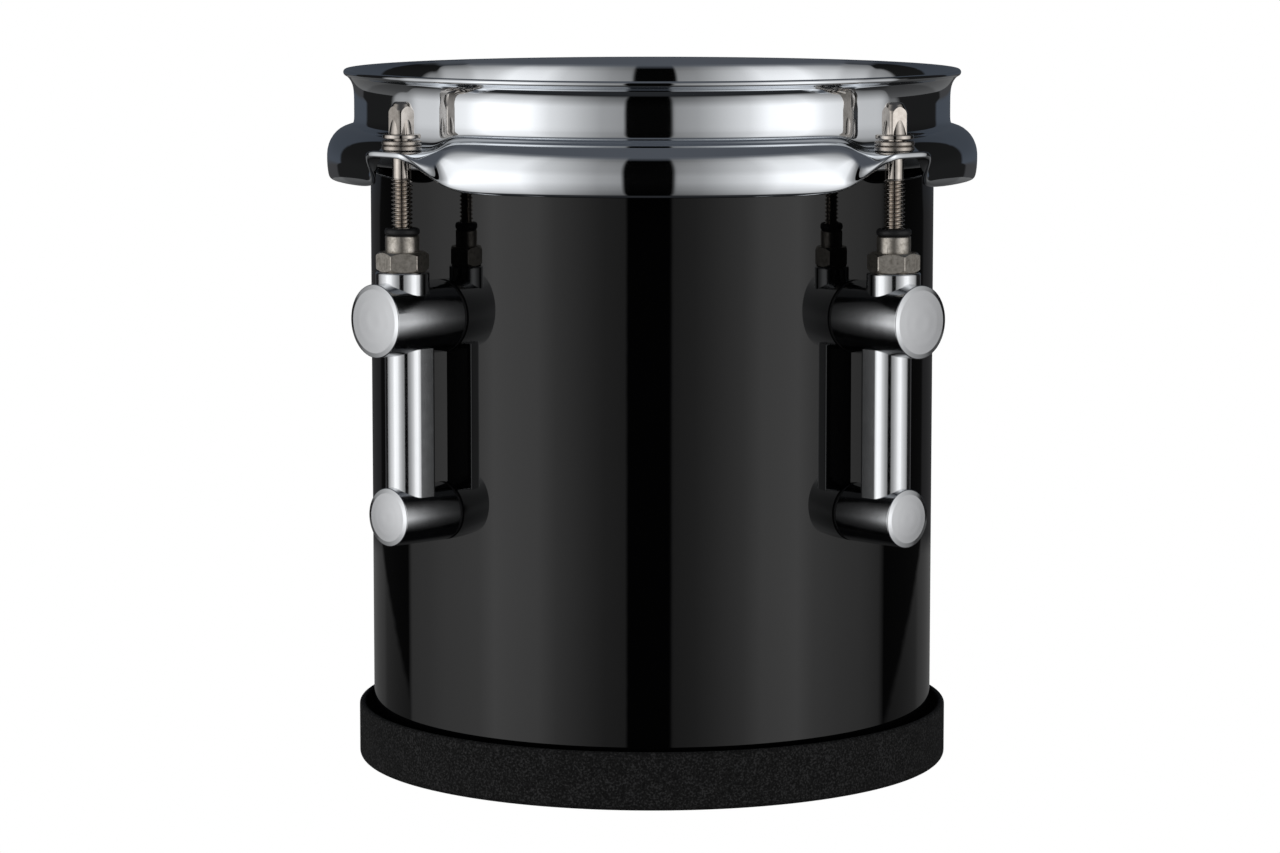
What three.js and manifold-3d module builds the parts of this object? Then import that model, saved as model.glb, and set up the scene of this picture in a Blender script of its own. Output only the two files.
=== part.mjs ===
// A small single-headed drum standing on a soft base ring. Millimetres, +Z up. The origin is the centre of
// the base ring's underside, and the shell's axis is Z. Four tension stations stand at 45, 135, 225 and 315
// degrees from +X. Each station is a group turned about Z, so in its own frame +X points out from the axis.
import * as THREE from "three";
import { mergeVertices } from "three/addons/utils/BufferGeometryUtils.js";
import Module from "manifold-3d";

const wasm = await Module();
wasm.setup();

// Driving dimensions
const GAP = 0.3; // between pieces that touch on the real drum
const STACK_GAP = 0.2; // between the thin pieces stacked on a rod
const RIM_SEGMENTS = 48; // facets round everything that follows the shell
const STATION_ANGLES = [45, 135, 225, 315];

const SHELL = { radius: 76.2, wall: 5, foot: 4.3, edge: 174 }; // 6 inch shell
const RING = { radius: 80.2, height: 15.4, lip: 1.6, floor: 4 };
const FILM = { thickness: 0.4, slotRadius: 78.2, slotEnd: 166.2 };
const FLESH = { innerRadius: 77.2, outerRadius: 83, foot: 163.6, top: 169.4 };

const HOOP = { wallRadius: 80.5, skirtRadius: 87.9, sheet: 1.6, foot: 158.5, lipTop: 187.8 };
const EAR = { top: 169.1, radius: 95.6, halfAngle: 7.1, steepness: 5.5, holeRadius: 3.3 };

const ROD = { axis: 89.4, radius: 2.65, tip: 122, flangeFoot: 172, flangeTop: 173.4, flangeRadius: 5 };
const KEY = { top: 181.7, flats: 5.2, cornerRadius: 3.3, chamfer: 0.9 };
const WASHER = { radius: 5.2, innerRadius: 3, foot: 169.3, height: 1.1 };

const NUT = { flats: 12, hexFoot: 138.2, hexTop: 143.1, collarRadius: 4.4, collarTop: 147.3 };
const NUT_INSERT = { radius: 3.7, foot: 127, boreRadius: 3 };
const NUT_TURNS = [3, -9, -7, 7]; // degrees each hexagon stands off square, by station
const O_RING = { radius: 4.55, innerRadius: 3, foot: 147.5, top: 149.3 };

const UPPER_POST = { z: 125.7, radius: 9.5, end: 99.5 };
const LOWER_POST = { z: 74.5, radius: 7.6, end: 95.5 };
const POST_END = { dome: 0.3, bevel: 1.4, bevelDepth: 0.4 };
const BAR = { radius: 5.7, axis: 88.1, innerEdge: 83.2 };
const BOSS = { radius: 7, top: 138, bevel: 0.6, boreRadius: 4, boreFoot: 119 };

const GASKET = { inner: 76.4, outer: 77 };
const LUG_ROOT = GASKET.outer + STACK_GAP;
const SCREW = { radius: 2, headRadius: 3.8, headHeight: 2.6, end: 83.6, holeRadius: 2.6 };
const SCREW_HOLE_END = 84.2; // blind end of the screw hole in a post
const SCREW_WASHER = { radius: 4.5, innerRadius: 2.4, height: 0.8, outerFace: 70.7 };

// Materials
const material = (color, roughness, metalness) =>
  new THREE.MeshStandardMaterial({ color, roughness, metalness });
const LACQUER = material(0x0b0b0d, 0.08, 0);
const CHROME = material(0xd8dbe0, 0.06, 1);
const STEEL = material(0xa9a296, 0.28, 1);
const ALUMINIUM = material(0xc4c6c8, 0.35, 1);
const PLASTIC_FILM = material(0x17181a, 0.3, 0);
const RUBBER = material(0x141416, 0.7, 0);
const FOAM = material(0x1a1a1c, 0.9, 0);

// A solid of revolution about Z. A profile of [radius, z] pairs goes out and up on its outer side; a closed
// one ends on its first point.
function turned(profile, segments) {
  const points = profile.map(([radius, z]) => new THREE.Vector2(radius, z));
  return new THREE.LatheGeometry(points, segments).rotateX(Math.PI / 2);
}

// A ring whose profile closes on itself.
function turnedRing(profile, segments) {
  return turned([...profile, profile[0]], segments);
}

// Turns a solid made about Z so that its axis lies along the station's +X, at height z.
function radial(geometry, z) {
  return geometry.rotateY(Math.PI / 2).translate(0, 0, z);
}

function cylinder(radius, foot, top, segments) {
  const profile = [[0, foot], [radius, foot], [radius, top], [0, top]];
  return turned(profile, segments);
}

// Conversions for manifold-3d, which joins and cuts.
function solid(geometry) {
  const bare = geometry.clone();
  bare.deleteAttribute("normal");
  bare.deleteAttribute("uv");
  const merged = mergeVertices(bare, 1e-4);
  return new wasm.Manifold(
    new wasm.Mesh({
      numProp: 3,
      vertProperties: new Float32Array(merged.attributes.position.array),
      triVerts: new Uint32Array(merged.index.array),
    }),
  );
}

function geometryOf(body) {
  const mesh = body.getMesh();
  const geometry = new THREE.BufferGeometry();
  geometry.setAttribute("position", new THREE.BufferAttribute(mesh.vertProperties, 3));
  geometry.setIndex(new THREE.BufferAttribute(mesh.triVerts, 1));
  geometry.computeVertexNormals();
  return geometry;
}

function named(name, geometry, look) {
  const mesh = new THREE.Mesh(geometry, look);
  mesh.name = name;
  return mesh;
}

const radians = THREE.MathUtils.degToRad;
const lerp = THREE.MathUtils.lerp;

// The shell: a tube with a 45 degree bearing edge, bored for the eight lug screws.
function shell() {
  const inner = SHELL.radius - SHELL.wall;
  const easing = 0.8;
  const apex = SHELL.radius - 1.4;
  const profile = [
    [inner + easing, SHELL.foot],
    [SHELL.radius - easing, SHELL.foot],
    [SHELL.radius, SHELL.foot + easing],
    [SHELL.radius, SHELL.edge - 1.6],
    [apex, SHELL.edge],
    [inner, SHELL.edge - (apex - inner)],
    [inner, SHELL.foot + easing],
  ];
  let body = solid(turnedRing(profile, RIM_SEGMENTS));
  const margin = 2;
  for (const angle of STATION_ANGLES) {
    for (const post of [UPPER_POST, LOWER_POST]) {
      const drill = cylinder(SCREW.holeRadius, inner - margin, SHELL.radius + margin, 14);
      body = body.subtract(solid(radial(drill, post.z).rotateZ(radians(angle))));
    }
  }
  return named("shell", geometryOf(body), LACQUER);
}

// The film: flat over the bearing edge, down outside the shell, and into the flesh hoop's slot.
function drumHead() {
  const t = FILM.thickness;
  const under = SHELL.edge + GAP;
  const collar = SHELL.radius + GAP + 0.05;
  const profile = [
    [0, under],
    [SHELL.radius - 1.4, under],
    [SHELL.radius - 0.2, SHELL.edge - 0.15],
    [collar, SHELL.edge - 1.1],
    [collar, SHELL.edge - 2.6],
    [FILM.slotRadius, 169.4],
    [FILM.slotRadius, FILM.slotEnd],
    [FILM.slotRadius + t, FILM.slotEnd],
    [FILM.slotRadius + t, 169.6],
    [collar + t, SHELL.edge - 2.4],
    [collar + t, SHELL.edge - 1],
    [SHELL.radius + 0.1, SHELL.edge + 0.15],
    [SHELL.radius - 1.3, under + t],
    [0, under + t],
  ];
  return named("drum_head", turned(profile, RIM_SEGMENTS), PLASTIC_FILM);
}

// The flesh hoop: a channel with an open slot that holds the film's edge.
function fleshHoop() {
  const slotInner = FILM.slotRadius - GAP;
  const slotOuter = FILM.slotRadius + FILM.thickness + GAP;
  const slotFloor = FILM.slotEnd - GAP;
  const profile = [
    [FLESH.innerRadius, FLESH.foot],
    [FLESH.outerRadius, FLESH.foot],
    [FLESH.outerRadius, FLESH.top - 2.2],
    [FLESH.outerRadius - 3.1, FLESH.top],
    [slotOuter, FLESH.top],
    [slotOuter, slotFloor],
    [slotInner, slotFloor],
    [slotInner, FLESH.top - 0.2],
    [FLESH.innerRadius, FLESH.top - 0.2],
  ];
  return named("flesh_hoop", turnedRing(profile, RIM_SEGMENTS), ALUMINIUM);
}

// The hoop's section between the ears: skirt, shoulder, wall and lip. It goes up the outer face from the
// skirt's edge and comes back down the inner face.
function hoopSection() {
  const { skirtRadius, wallRadius, sheet, foot, lipTop } = HOOP;
  const wallInner = wallRadius - sheet;
  const shoulder = { radius: wallRadius + 0.8, z: 164.6, width: 6.6, height: 7.9 };
  const edge = 0.8;
  const turn = (angle, inset) => [
    shoulder.radius + (shoulder.width - inset) * Math.cos(radians(angle)),
    shoulder.z + (shoulder.height - inset) * Math.sin(radians(angle)),
  ];
  return [
    [skirtRadius - sheet / 2, foot],
    [skirtRadius, foot + edge],
    turn(0, 0),
    turn(30, 0),
    turn(55, 0),
    turn(80, 0),
    [wallRadius, 173.4],
    [wallRadius, 182.4],
    [wallRadius + 0.8, 184.6],
    [wallRadius + 2.3, 186.2],
    [wallRadius + 3, 187],
    [wallRadius + 2.3, lipTop],
    [wallInner + 1.6, 186],
    [wallInner, 181],
    [wallInner, 172.6],
    turn(90, sheet),
    turn(45, sheet),
    turn(0, sheet),
    [skirtRadius - sheet, foot + edge],
  ];
}

// The section through the middle of an ear, with a point for each point of hoopSection.
function earSection() {
  const wallAndLip = hoopSection().slice(6, 15);
  const underside = EAR.top - HOOP.sheet;
  return [
    [EAR.radius, EAR.top - HOOP.sheet / 2],
    [EAR.radius - 0.5, EAR.top],
    [91, EAR.top],
    [86, EAR.top],
    [83.8, EAR.top + 0.1],
    [82, EAR.top + 0.9],
    ...wallAndLip,
    [79.7, 170.8],
    [81.7, 168.5],
    [86, underside],
    [EAR.radius - 0.5, underside],
  ];
}

// The hoop's columns, in degrees from the nearest rod: close together where an ear grows out of the skirt.
function hoopAngles() {
  const side = [0, 4, 5.6, 7.1, 8.8, 11, 15, 24, 34];
  const quadrant = [-45, ...side.slice(1).reverse().map((angle) => -angle), ...side];
  return STATION_ANGLES.flatMap((station) => quadrant.map((angle) => ({ station, angle })));
}

function counterHoop() {
  const plain = hoopSection();
  const ear = earSection();
  const columns = hoopAngles();
  const geometry = turnedRing(plain, columns.length);
  const position = geometry.attributes.position;
  const rows = plain.length + 1;
  for (let column = 0; column <= columns.length; column += 1) {
    const { station, angle } = columns[column % columns.length];
    // 1 in the middle of an ear, one half at its half angle, and next to nothing between the ears
    const share = 1 / (1 + (Math.abs(angle) / EAR.halfAngle) ** EAR.steepness);
    // An ear's edge is straight across its middle, so its columns reach out a little more to the sides.
    const reach = 1 + share * (1 / Math.cos(radians(angle)) - 1);
    const heading = radians(station + angle);
    for (let row = 0; row < rows; row += 1) {
      const [plainRadius, plainZ] = plain[row % plain.length];
      const [earRadius, earZ] = ear[row % plain.length];
      const radius = lerp(plainRadius, earRadius * reach, share);
      const z = lerp(plainZ, earZ, share);
      const index = column * rows + row;
      position.setXYZ(index, radius * Math.cos(heading), radius * Math.sin(heading), z);
    }
  }
  let body = solid(geometry);
  for (const angle of STATION_ANGLES) {
    const drill = cylinder(EAR.holeRadius, HOOP.foot, HOOP.lipTop, 16);
    drill.translate(ROD.axis, 0, 0).rotateZ(radians(angle));
    body = body.subtract(solid(drill));
  }
  return named("counter_hoop", geometryOf(body), CHROME);
}

// The base ring: a soft channel, open in the middle, that holds the foot of the shell. Both lips lean away
// from the shell above its grip.
function baseRing() {
  const { radius, height, lip, floor } = RING;
  const shellInner = SHELL.radius - SHELL.wall;
  const inside = shellInner - (radius - SHELL.radius);
  const grip = 8.5;
  const profile = [
    [inside + 1.6, 0],
    [radius - 1.6, 0],
    [radius, 2.6],
    [radius, height - 2.4],
    [radius - 1, height],
    [radius - lip, height - 1.4],
    [SHELL.radius + GAP, grip],
    [SHELL.radius + GAP, floor],
    [shellInner - GAP, floor],
    [shellInner - GAP, grip],
    [inside + lip, height - 1.4],
    [inside + 1, height],
    [inside, height - 2.4],
    [inside, 2.6],
  ];
  return named("base_ring", turnedRing(profile, RIM_SEGMENTS), FOAM);
}

// A tension rod: square key head milled from a round blank, flange, and a shank down into the receiver.
function tensionRod(number) {
  const shankTop = ROD.flangeFoot + 0.5;
  const shank = turned([
    [0, ROD.tip],
    [ROD.radius - 0.8, ROD.tip],
    [ROD.radius, ROD.tip + 1.2],
    [ROD.radius, shankTop],
    [0, shankTop],
  ], 12);
  const blank = turned([
    [0, ROD.flangeFoot],
    [ROD.flangeRadius, ROD.flangeFoot],
    [ROD.flangeRadius, ROD.flangeTop],
    [KEY.cornerRadius, ROD.flangeTop + 0.3],
    [KEY.cornerRadius, KEY.top - KEY.chamfer],
    [KEY.cornerRadius - 1.2, KEY.top],
    [0, KEY.top],
  ], 16);
  const square = new THREE.BoxGeometry(KEY.flats, KEY.flats, KEY.top);
  square.translate(0, 0, KEY.top / 2 + ROD.flangeTop + 0.4);
  const disc = cylinder(ROD.flangeRadius + 1, ROD.flangeFoot - 1, ROD.flangeTop + 0.4, 16);
  const milled = solid(blank).intersect(solid(square).add(solid(disc)));
  const geometry = geometryOf(milled.add(solid(shank)));
  return named(`tension_rod_${number}`, geometry.translate(ROD.axis, 0, 0), STEEL);
}

function rodWasher(name, foot) {
  const top = foot + WASHER.height;
  const profile = [
    [WASHER.innerRadius, foot],
    [WASHER.radius, foot],
    [WASHER.radius, top],
    [WASHER.innerRadius, top],
  ];
  return named(name, turnedRing(profile, 12).translate(ROD.axis, 0, 0), STEEL);
}

// The receiver: hexagon on the lug's boss, round collar above it, and an insert down inside the boss.
function receiverNut(number) {
  const cornerRadius = NUT.flats / 2 / Math.cos(radians(30));
  const hexagon = cylinder(cornerRadius, NUT.hexFoot, NUT.hexTop, 6).rotateZ(radians(NUT_TURNS[number - 1]));
  const turnedBlank = turned([
    [0, NUT_INSERT.foot],
    [NUT_INSERT.radius, NUT_INSERT.foot],
    [NUT_INSERT.radius, NUT.hexFoot + 0.5],
    [NUT.collarRadius, NUT.hexTop - 0.5],
    [NUT.collarRadius, NUT.collarTop],
    [0, NUT.collarTop],
  ], 14);
  const chamfer = turned([
    [0, NUT.hexFoot - 1],
    [cornerRadius, NUT.hexFoot - 1],
    [cornerRadius, NUT.hexTop - 0.6],
    [NUT.flats / 2, NUT.hexTop],
    [0, NUT.hexTop],
  ], 12);
  const bore = cylinder(NUT_INSERT.boreRadius, NUT_INSERT.foot - 1, NUT.collarTop + 1, 12);
  const body = solid(hexagon).intersect(solid(chamfer)).add(solid(turnedBlank)).subtract(solid(bore));
  return named(`receiver_nut_${number}`, geometryOf(body).translate(ROD.axis, 0, 0), STEEL);
}

function oRing(number) {
  const middle = (O_RING.radius + O_RING.innerRadius) / 2;
  const halfWidth = (O_RING.radius - O_RING.innerRadius) / 2;
  const halfHeight = (O_RING.top - O_RING.foot) / 2;
  const profile = [];
  for (let angle = -90; angle < 270; angle += 60) {
    const radius = middle + halfWidth * Math.cos(radians(angle));
    profile.push([radius, O_RING.foot + halfHeight + halfHeight * Math.sin(radians(angle))]);
  }
  return named(`o_ring_${number}`, turnedRing(profile, 12).translate(ROD.axis, 0, 0), RUBBER);
}

// A lug post along the station's +X with a shallow bevel round its slightly domed end.
function post({ z, radius, end }, segments) {
  const { dome, bevel, bevelDepth } = POST_END;
  const start = SHELL.radius - 2;
  const profile = [
    [0, start],
    [radius, start],
    [radius, end - dome - bevelDepth],
    [radius - bevel, end - dome],
    [0, end],
  ];
  return solid(radial(turned(profile, segments), z));
}

// The D-section bar between the posts: flat sides towards the shell, half round outwards.
function bar() {
  const outline = new THREE.Shape();
  outline.moveTo(BAR.innerEdge, -BAR.radius);
  outline.lineTo(BAR.axis, -BAR.radius);
  outline.absarc(BAR.axis, 0, BAR.radius, -Math.PI / 2, Math.PI / 2, false);
  outline.lineTo(BAR.innerEdge, BAR.radius);
  outline.closePath();
  const depth = UPPER_POST.z - LOWER_POST.z;
  const geometry = new THREE.ExtrudeGeometry(outline, { depth, bevelEnabled: false, curveSegments: 8 });
  return solid(geometry.translate(0, 0, LOWER_POST.z));
}

function boss() {
  const profile = [
    [0, UPPER_POST.z],
    [BOSS.radius, UPPER_POST.z],
    [BOSS.radius, BOSS.top - BOSS.bevel],
    [BOSS.radius - BOSS.bevel, BOSS.top],
    [0, BOSS.top],
  ];
  return solid(turned(profile, 18).translate(ROD.axis, 0, 0));
}

// One casting: both posts, the bar and the boss, hollowed to the shell's curve and drilled.
function lug(number) {
  const margin = 2;
  const curve = cylinder(LUG_ROOT, 0, SHELL.edge, RIM_SEGMENTS);
  const bore = cylinder(BOSS.boreRadius, BOSS.boreFoot, BOSS.top + margin, 12).translate(ROD.axis, 0, 0);
  const screwHole = () => cylinder(SCREW.radius + GAP, SHELL.radius - margin, SCREW_HOLE_END, 8);
  const body = post(UPPER_POST, 24)
    .add(post(LOWER_POST, 20))
    .add(bar())
    .add(boss())
    .subtract(solid(curve))
    .subtract(solid(bore))
    .subtract(solid(radial(screwHole(), UPPER_POST.z)))
    .subtract(solid(radial(screwHole(), LOWER_POST.z)));
  return named(`lug_${number}`, geometryOf(body), CHROME);
}

// A gasket follows the shell's curve under a post.
function gasket(name, { z, radius }) {
  const disc = cylinder(radius, SHELL.radius - 3, GASKET.outer + 3, 16);
  const hole = cylinder(SCREW.radius + GAP, SHELL.radius - 4, GASKET.outer + 4, 8);
  const body = solid(radial(disc, z))
    .intersect(solid(cylinder(GASKET.outer, 0, SHELL.edge, RIM_SEGMENTS)))
    .subtract(solid(cylinder(GASKET.inner, 0, SHELL.edge, RIM_SEGMENTS)))
    .subtract(solid(radial(hole, z)));
  return named(name, geometryOf(body), RUBBER);
}

function lugScrew(name, { z }) {
  const headOuter = SCREW_WASHER.outerFace - SCREW_WASHER.height - STACK_GAP;
  const headInner = headOuter - SCREW.headHeight;
  const profile = [
    [0, headInner],
    [SCREW.headRadius - 1.2, headInner],
    [SCREW.headRadius, headInner + 1.2],
    [SCREW.headRadius, headOuter],
    [SCREW.radius, headOuter],
    [SCREW.radius, SCREW.end],
    [0, SCREW.end],
  ];
  return named(name, radial(turned(profile, 10), z), STEEL);
}

function screwWasher(name, { z }) {
  const { radius, innerRadius, height, outerFace } = SCREW_WASHER;
  const profile = [
    [innerRadius, outerFace - height],
    [radius, outerFace - height],
    [radius, outerFace],
    [innerRadius, outerFace],
  ];
  return named(name, radial(turnedRing(profile, 10), z), STEEL);
}

// Everything that repeats at a rod.
function station(angle, number) {
  const group = new THREE.Group();
  group.rotation.z = radians(angle);
  group.add(tensionRod(number));
  group.add(rodWasher(`lower_washer_${number}`, WASHER.foot));
  group.add(rodWasher(`upper_washer_${number}`, WASHER.foot + WASHER.height + STACK_GAP));
  group.add(receiverNut(number), oRing(number), lug(number));
  for (const [level, place] of [["upper", UPPER_POST], ["lower", LOWER_POST]]) {
    group.add(gasket(`${level}_gasket_${number}`, place));
    group.add(lugScrew(`${level}_lug_screw_${number}`, place));
    group.add(screwWasher(`${level}_screw_washer_${number}`, place));
  }
  return group;
}

const drum = new THREE.Group();
drum.add(shell(), drumHead(), fleshHoop(), counterHoop(), baseRing());
STATION_ANGLES.forEach((angle, index) => drum.add(station(angle, index + 1)));

export default drum;
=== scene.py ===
"""A small single-headed drum: fine shapes and materials over the CAD frame, the light and the camera."""

import math

import bpy
import numpy as np
from mathutils import Matrix, Vector
from mathutils.bvhtree import BVHTree
from mathutils.geometry import barycentric_transform, tessellate_polygon


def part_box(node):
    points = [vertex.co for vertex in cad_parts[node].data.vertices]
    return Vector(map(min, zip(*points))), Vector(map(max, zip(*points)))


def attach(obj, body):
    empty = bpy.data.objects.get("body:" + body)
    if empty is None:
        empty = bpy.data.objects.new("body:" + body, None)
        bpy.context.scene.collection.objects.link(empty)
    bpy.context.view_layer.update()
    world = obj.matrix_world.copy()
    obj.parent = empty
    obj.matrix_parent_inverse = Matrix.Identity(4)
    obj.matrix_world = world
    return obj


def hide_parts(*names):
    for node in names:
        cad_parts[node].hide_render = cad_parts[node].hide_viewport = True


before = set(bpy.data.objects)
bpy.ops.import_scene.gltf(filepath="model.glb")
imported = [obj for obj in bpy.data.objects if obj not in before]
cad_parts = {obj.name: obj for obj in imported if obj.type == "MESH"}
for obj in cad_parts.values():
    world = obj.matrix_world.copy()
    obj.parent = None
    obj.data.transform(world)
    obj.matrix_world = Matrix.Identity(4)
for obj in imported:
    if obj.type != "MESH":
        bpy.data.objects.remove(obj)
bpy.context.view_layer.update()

STATIONS = {1: 45, 2: 135, 3: 225, 4: 315}  # degrees from +X
LEVELS = ("upper", "lower")


# ---------------------------------------------------------------- sizes, in millimetres
def corners_of(node):
    """The lowest and highest corners of a CAD node."""
    low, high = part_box(node)
    return low * 1000, high * 1000


def middle_of(node):
    low, high = corners_of(node)
    return (low + high) / 2


def foot_of(node):
    return corners_of(node)[0].z


def top_of(node):
    return corners_of(node)[1].z


SHELL_RADIUS = corners_of("shell")[1].x
SHELL_WALL = 5.0
SHELL_FOOT = foot_of("shell")
SHELL_EDGE = top_of("shell")
RING_RADIUS = corners_of("base_ring")[1].x
RING_TOP = top_of("base_ring")
FLESH_RADIUS = corners_of("flesh_hoop")[1].x
FLESH_FOOT = foot_of("flesh_hoop")
FLESH_TOP = top_of("flesh_hoop")
SKIRT_RADIUS = corners_of("counter_hoop")[1].x
HOOP_FOOT = foot_of("counter_hoop")
HOOP_TOP = top_of("counter_hoop")
ROD_AXIS = middle_of("tension_rod_1").xy.length
ROD_TIP = foot_of("tension_rod_1")
KEY_TOP = top_of("tension_rod_1")
UPPER_POST_Z = middle_of("upper_gasket_1").z
LOWER_POST_Z = middle_of("lower_gasket_1").z
BOSS_TOP = top_of("lug_1")
EAR_TOP = 169.1
SHEET = 1.6  # of the hoop
EAR_BORE = 3.1  # radii of the holes for rods and screws
SHELL_BORE = 2.6
SCREW_BORE = 2.3


# ---------------------------------------------------------------- surfaces
class Skin:
    """A closed surface in millimetres: points, faces, and a normal for every corner of every face."""

    def __init__(self):
        self.points = []
        self.faces = []
        self.normals = []
        self.looks = []  # the number of each face's material

    def point(self, x, y, z):
        self.points.append(Vector((x, y, z)))
        return len(self.points) - 1

    def face(self, numbers, normals, look=0):
        self.faces.append(tuple(numbers))
        self.normals.append([normal.normalized() for normal in normals])
        self.looks.append(look)

    def moved(self, matrix):
        """The same surface after a rotation or a shift."""
        other = Skin()
        turn = matrix.to_3x3()
        other.points = [matrix @ point for point in self.points]
        other.faces = list(self.faces)
        other.normals = [[turn @ normal for normal in normals] for normals in self.normals]
        other.looks = list(self.looks)
        return other

    def triangles(self):
        """The same surface in triangles."""
        other = Skin()
        other.points = self.points
        for numbers, normals, look in zip(self.faces, self.normals, self.looks):
            if len(numbers) < 5:
                parts = [(0, k, k + 1) for k in range(1, len(numbers) - 1)]
            else:
                parts = tessellate_polygon([[self.points[k] for k in numbers]])
            for part in parts:
                a, b, c = (self.points[numbers[k]] for k in part)
                if len(numbers) > 4 and (b - a).cross(c - a).dot(normals[part[0]]) < 0:
                    part = part[::-1]
                other.face([numbers[k] for k in part], [normals[k] for k in part], look)
        return other

    def mesh(self, name, scale=1.0):
        mesh = bpy.data.meshes.new(name)
        mesh.from_pydata([point * scale for point in self.points], [], self.faces)
        mesh.polygons.foreach_set("use_smooth", [True] * len(self.faces))
        mesh.polygons.foreach_set("material_index", self.looks)
        mesh.normals_split_custom_set([normal for normals in self.normals for normal in normals])
        return mesh


ARC_STEP = math.radians(12)
CARVE_REACH = 0.01  # how far a carved face may be from the face it came from
SAME_WAY = 0.9  # the least dot product of two normals that count as parallel


def section(corners, closed=False):
    """Nodes (place, normal before, normal after, look after) along a line with rounded corners.

    A corner is (x, y), (x, y, fillet) or (x, y, fillet, look of what follows). The outside is on the right.
    """
    nodes = []
    count = len(corners)
    for i, (x, y, *rest) in enumerate(corners):
        here = Vector((x, y))
        fillet = rest[0] if rest else 0
        look = rest[1] if len(rest) > 1 else 0
        first, last = i == 0 and not closed, i == count - 1 and not closed
        way_in = None if first else (here - Vector(corners[i - 1][:2])).normalized()
        way_out = None if last else (Vector(corners[(i + 1) % count][:2]) - here).normalized()
        normal_in = Vector((way_in.y, -way_in.x)) if way_in else None
        normal_out = Vector((way_out.y, -way_out.x)) if way_out else None
        if first or last or not fillet:
            nodes.append((here, normal_in, normal_out, look))
            continue
        turn = math.atan2(way_in.x * way_out.y - way_in.y * way_out.x, way_in.dot(way_out))
        start = here - way_in * fillet * math.tan(abs(turn) / 2)
        centre = start - normal_in * math.copysign(fillet, turn)
        steps = max(2, math.ceil(abs(turn) / ARC_STEP))
        for step in range(steps + 1):
            spin = Matrix.Rotation(turn * step / steps, 2)
            normal = spin @ normal_in
            nodes.append((centre + spin @ (start - centre), normal, normal, look))
    return nodes


def stretches(nodes, closed):
    """Each stretch between neighbouring nodes: its two ends and its look."""
    count = len(nodes)
    for k in range(count if closed else count - 1):
        here, after = nodes[k], nodes[(k + 1) % count]
        yield k, (k + 1) % count, here[2], after[1], here[3]


def lathe(corners, columns, closed=False):
    """A solid of revolution about Z. Its section of (radius, z) corners goes up on the outer side."""
    skin = Skin()
    nodes = section(corners, closed)
    angles = [math.tau * column / columns for column in range(columns)]
    rings = []
    for place, *_ in nodes:
        if place.x < 1e-6:
            rings.append([skin.point(0, 0, place.y)] * columns)
        else:
            flat = [(place.x * math.cos(a), place.x * math.sin(a)) for a in angles]
            rings.append([skin.point(x, y, place.y) for x, y in flat])

    def outward(normal, angle):
        return Vector((normal.x * math.cos(angle), normal.x * math.sin(angle), normal.y))

    for low, high, normal_low, normal_high, look in stretches(nodes, closed):
        for j in range(columns):
            i = (j + 1) % columns
            quad = [
                (rings[low][j], outward(normal_low, angles[j])),
                (rings[low][i], outward(normal_low, angles[i])),
                (rings[high][i], outward(normal_high, angles[i])),
                (rings[high][j], outward(normal_high, angles[j])),
            ]
            kept = [corner for k, corner in enumerate(quad) if corner[0] != quad[k - 1][0]]
            skin.face([number for number, _ in kept], [normal for _, normal in kept], look)
    return skin


def prism(corners, foot, top):
    """An outline in X and Y, anticlockwise, drawn up along Z."""
    skin = Skin()
    nodes = section(corners, closed=True)
    low = [skin.point(place.x, place.y, foot) for place, *_ in nodes]
    high = [skin.point(place.x, place.y, top) for place, *_ in nodes]
    for k, after, normal_here, normal_after, look in stretches(nodes, closed=True):
        here, there = normal_here.to_3d(), normal_after.to_3d()
        skin.face((low[k], low[after], high[after], high[k]), (here, there, there, here), look)
    skin.face(low[::-1], [Vector((0, 0, -1))] * len(low))
    skin.face(high, [Vector((0, 0, 1))] * len(high))
    return skin


def cut_with(loose, operations):
    """The first object's mesh after each operation with the next object, as points and triangles."""
    for operation, tool in zip(operations, loose[1:]):
        modifier = loose[0].modifiers.new("cut", "BOOLEAN")
        modifier.operation = operation
        modifier.solver = "EXACT"
        modifier.object = tool
    mesh = loose[0].evaluated_get(bpy.context.evaluated_depsgraph_get()).to_mesh()
    mesh.calc_loop_triangles()
    triangles = [(tuple(part.vertices), part.normal.copy()) for part in mesh.loop_triangles]
    return [vertex.co.copy() for vertex in mesh.vertices], triangles


def face_under(spot, facing, sources, trees):
    """The source and number of the nearest face at a spot that faces the same or the opposite way."""
    found = None
    for source, tree in zip(sources, trees):
        _, normal, number, distance = tree.find_nearest(spot, CARVE_REACH)
        if number is None or abs(normal.dot(facing)) <= SAME_WAY:
            continue
        if not found or distance < found[0]:
            found = (distance, source, number)
    return found[1:] if found else (None, None)


def carve(base, *steps):
    """The solid left after each (operation, tool) in turn, with normals from the solids it came from."""
    sources = [base.triangles()] + [tool.triangles() for _, tool in steps]
    loose = [bpy.data.objects.new("loose", source.mesh("loose")) for source in sources]
    for item in loose:
        bpy.context.scene.collection.objects.link(item)
    skin = Skin()
    skin.points, triangles = cut_with(loose, [operation for operation, _ in steps])
    trees = [BVHTree.FromPolygons(source.points, source.faces) for source in sources]
    for numbers, facing in triangles:
        centre = sum((skin.points[k] for k in numbers), Vector()) / 3
        source, number = face_under(centre, facing, sources, trees)
        if source is None:
            skin.face(numbers, [facing] * 3)
            continue
        corners_and_normals = [source.points[k] for k in source.faces[number]] + source.normals[number]
        normals = [barycentric_transform(skin.points[k], *corners_and_normals) for k in numbers]
        normals = [-normal if normal.dot(facing) < 0 else normal for normal in normals]
        skin.face(numbers, normals, source.looks[number])
    for item in loose:
        mesh = item.data
        bpy.data.objects.remove(item)
        bpy.data.meshes.remove(mesh)
    return skin


def cylinder(radius, foot, top, columns=32):
    """A plain cylinder about Z, to drill with."""
    return lathe([(0, foot), (radius, foot), (radius, top), (0, top)], columns)


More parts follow.
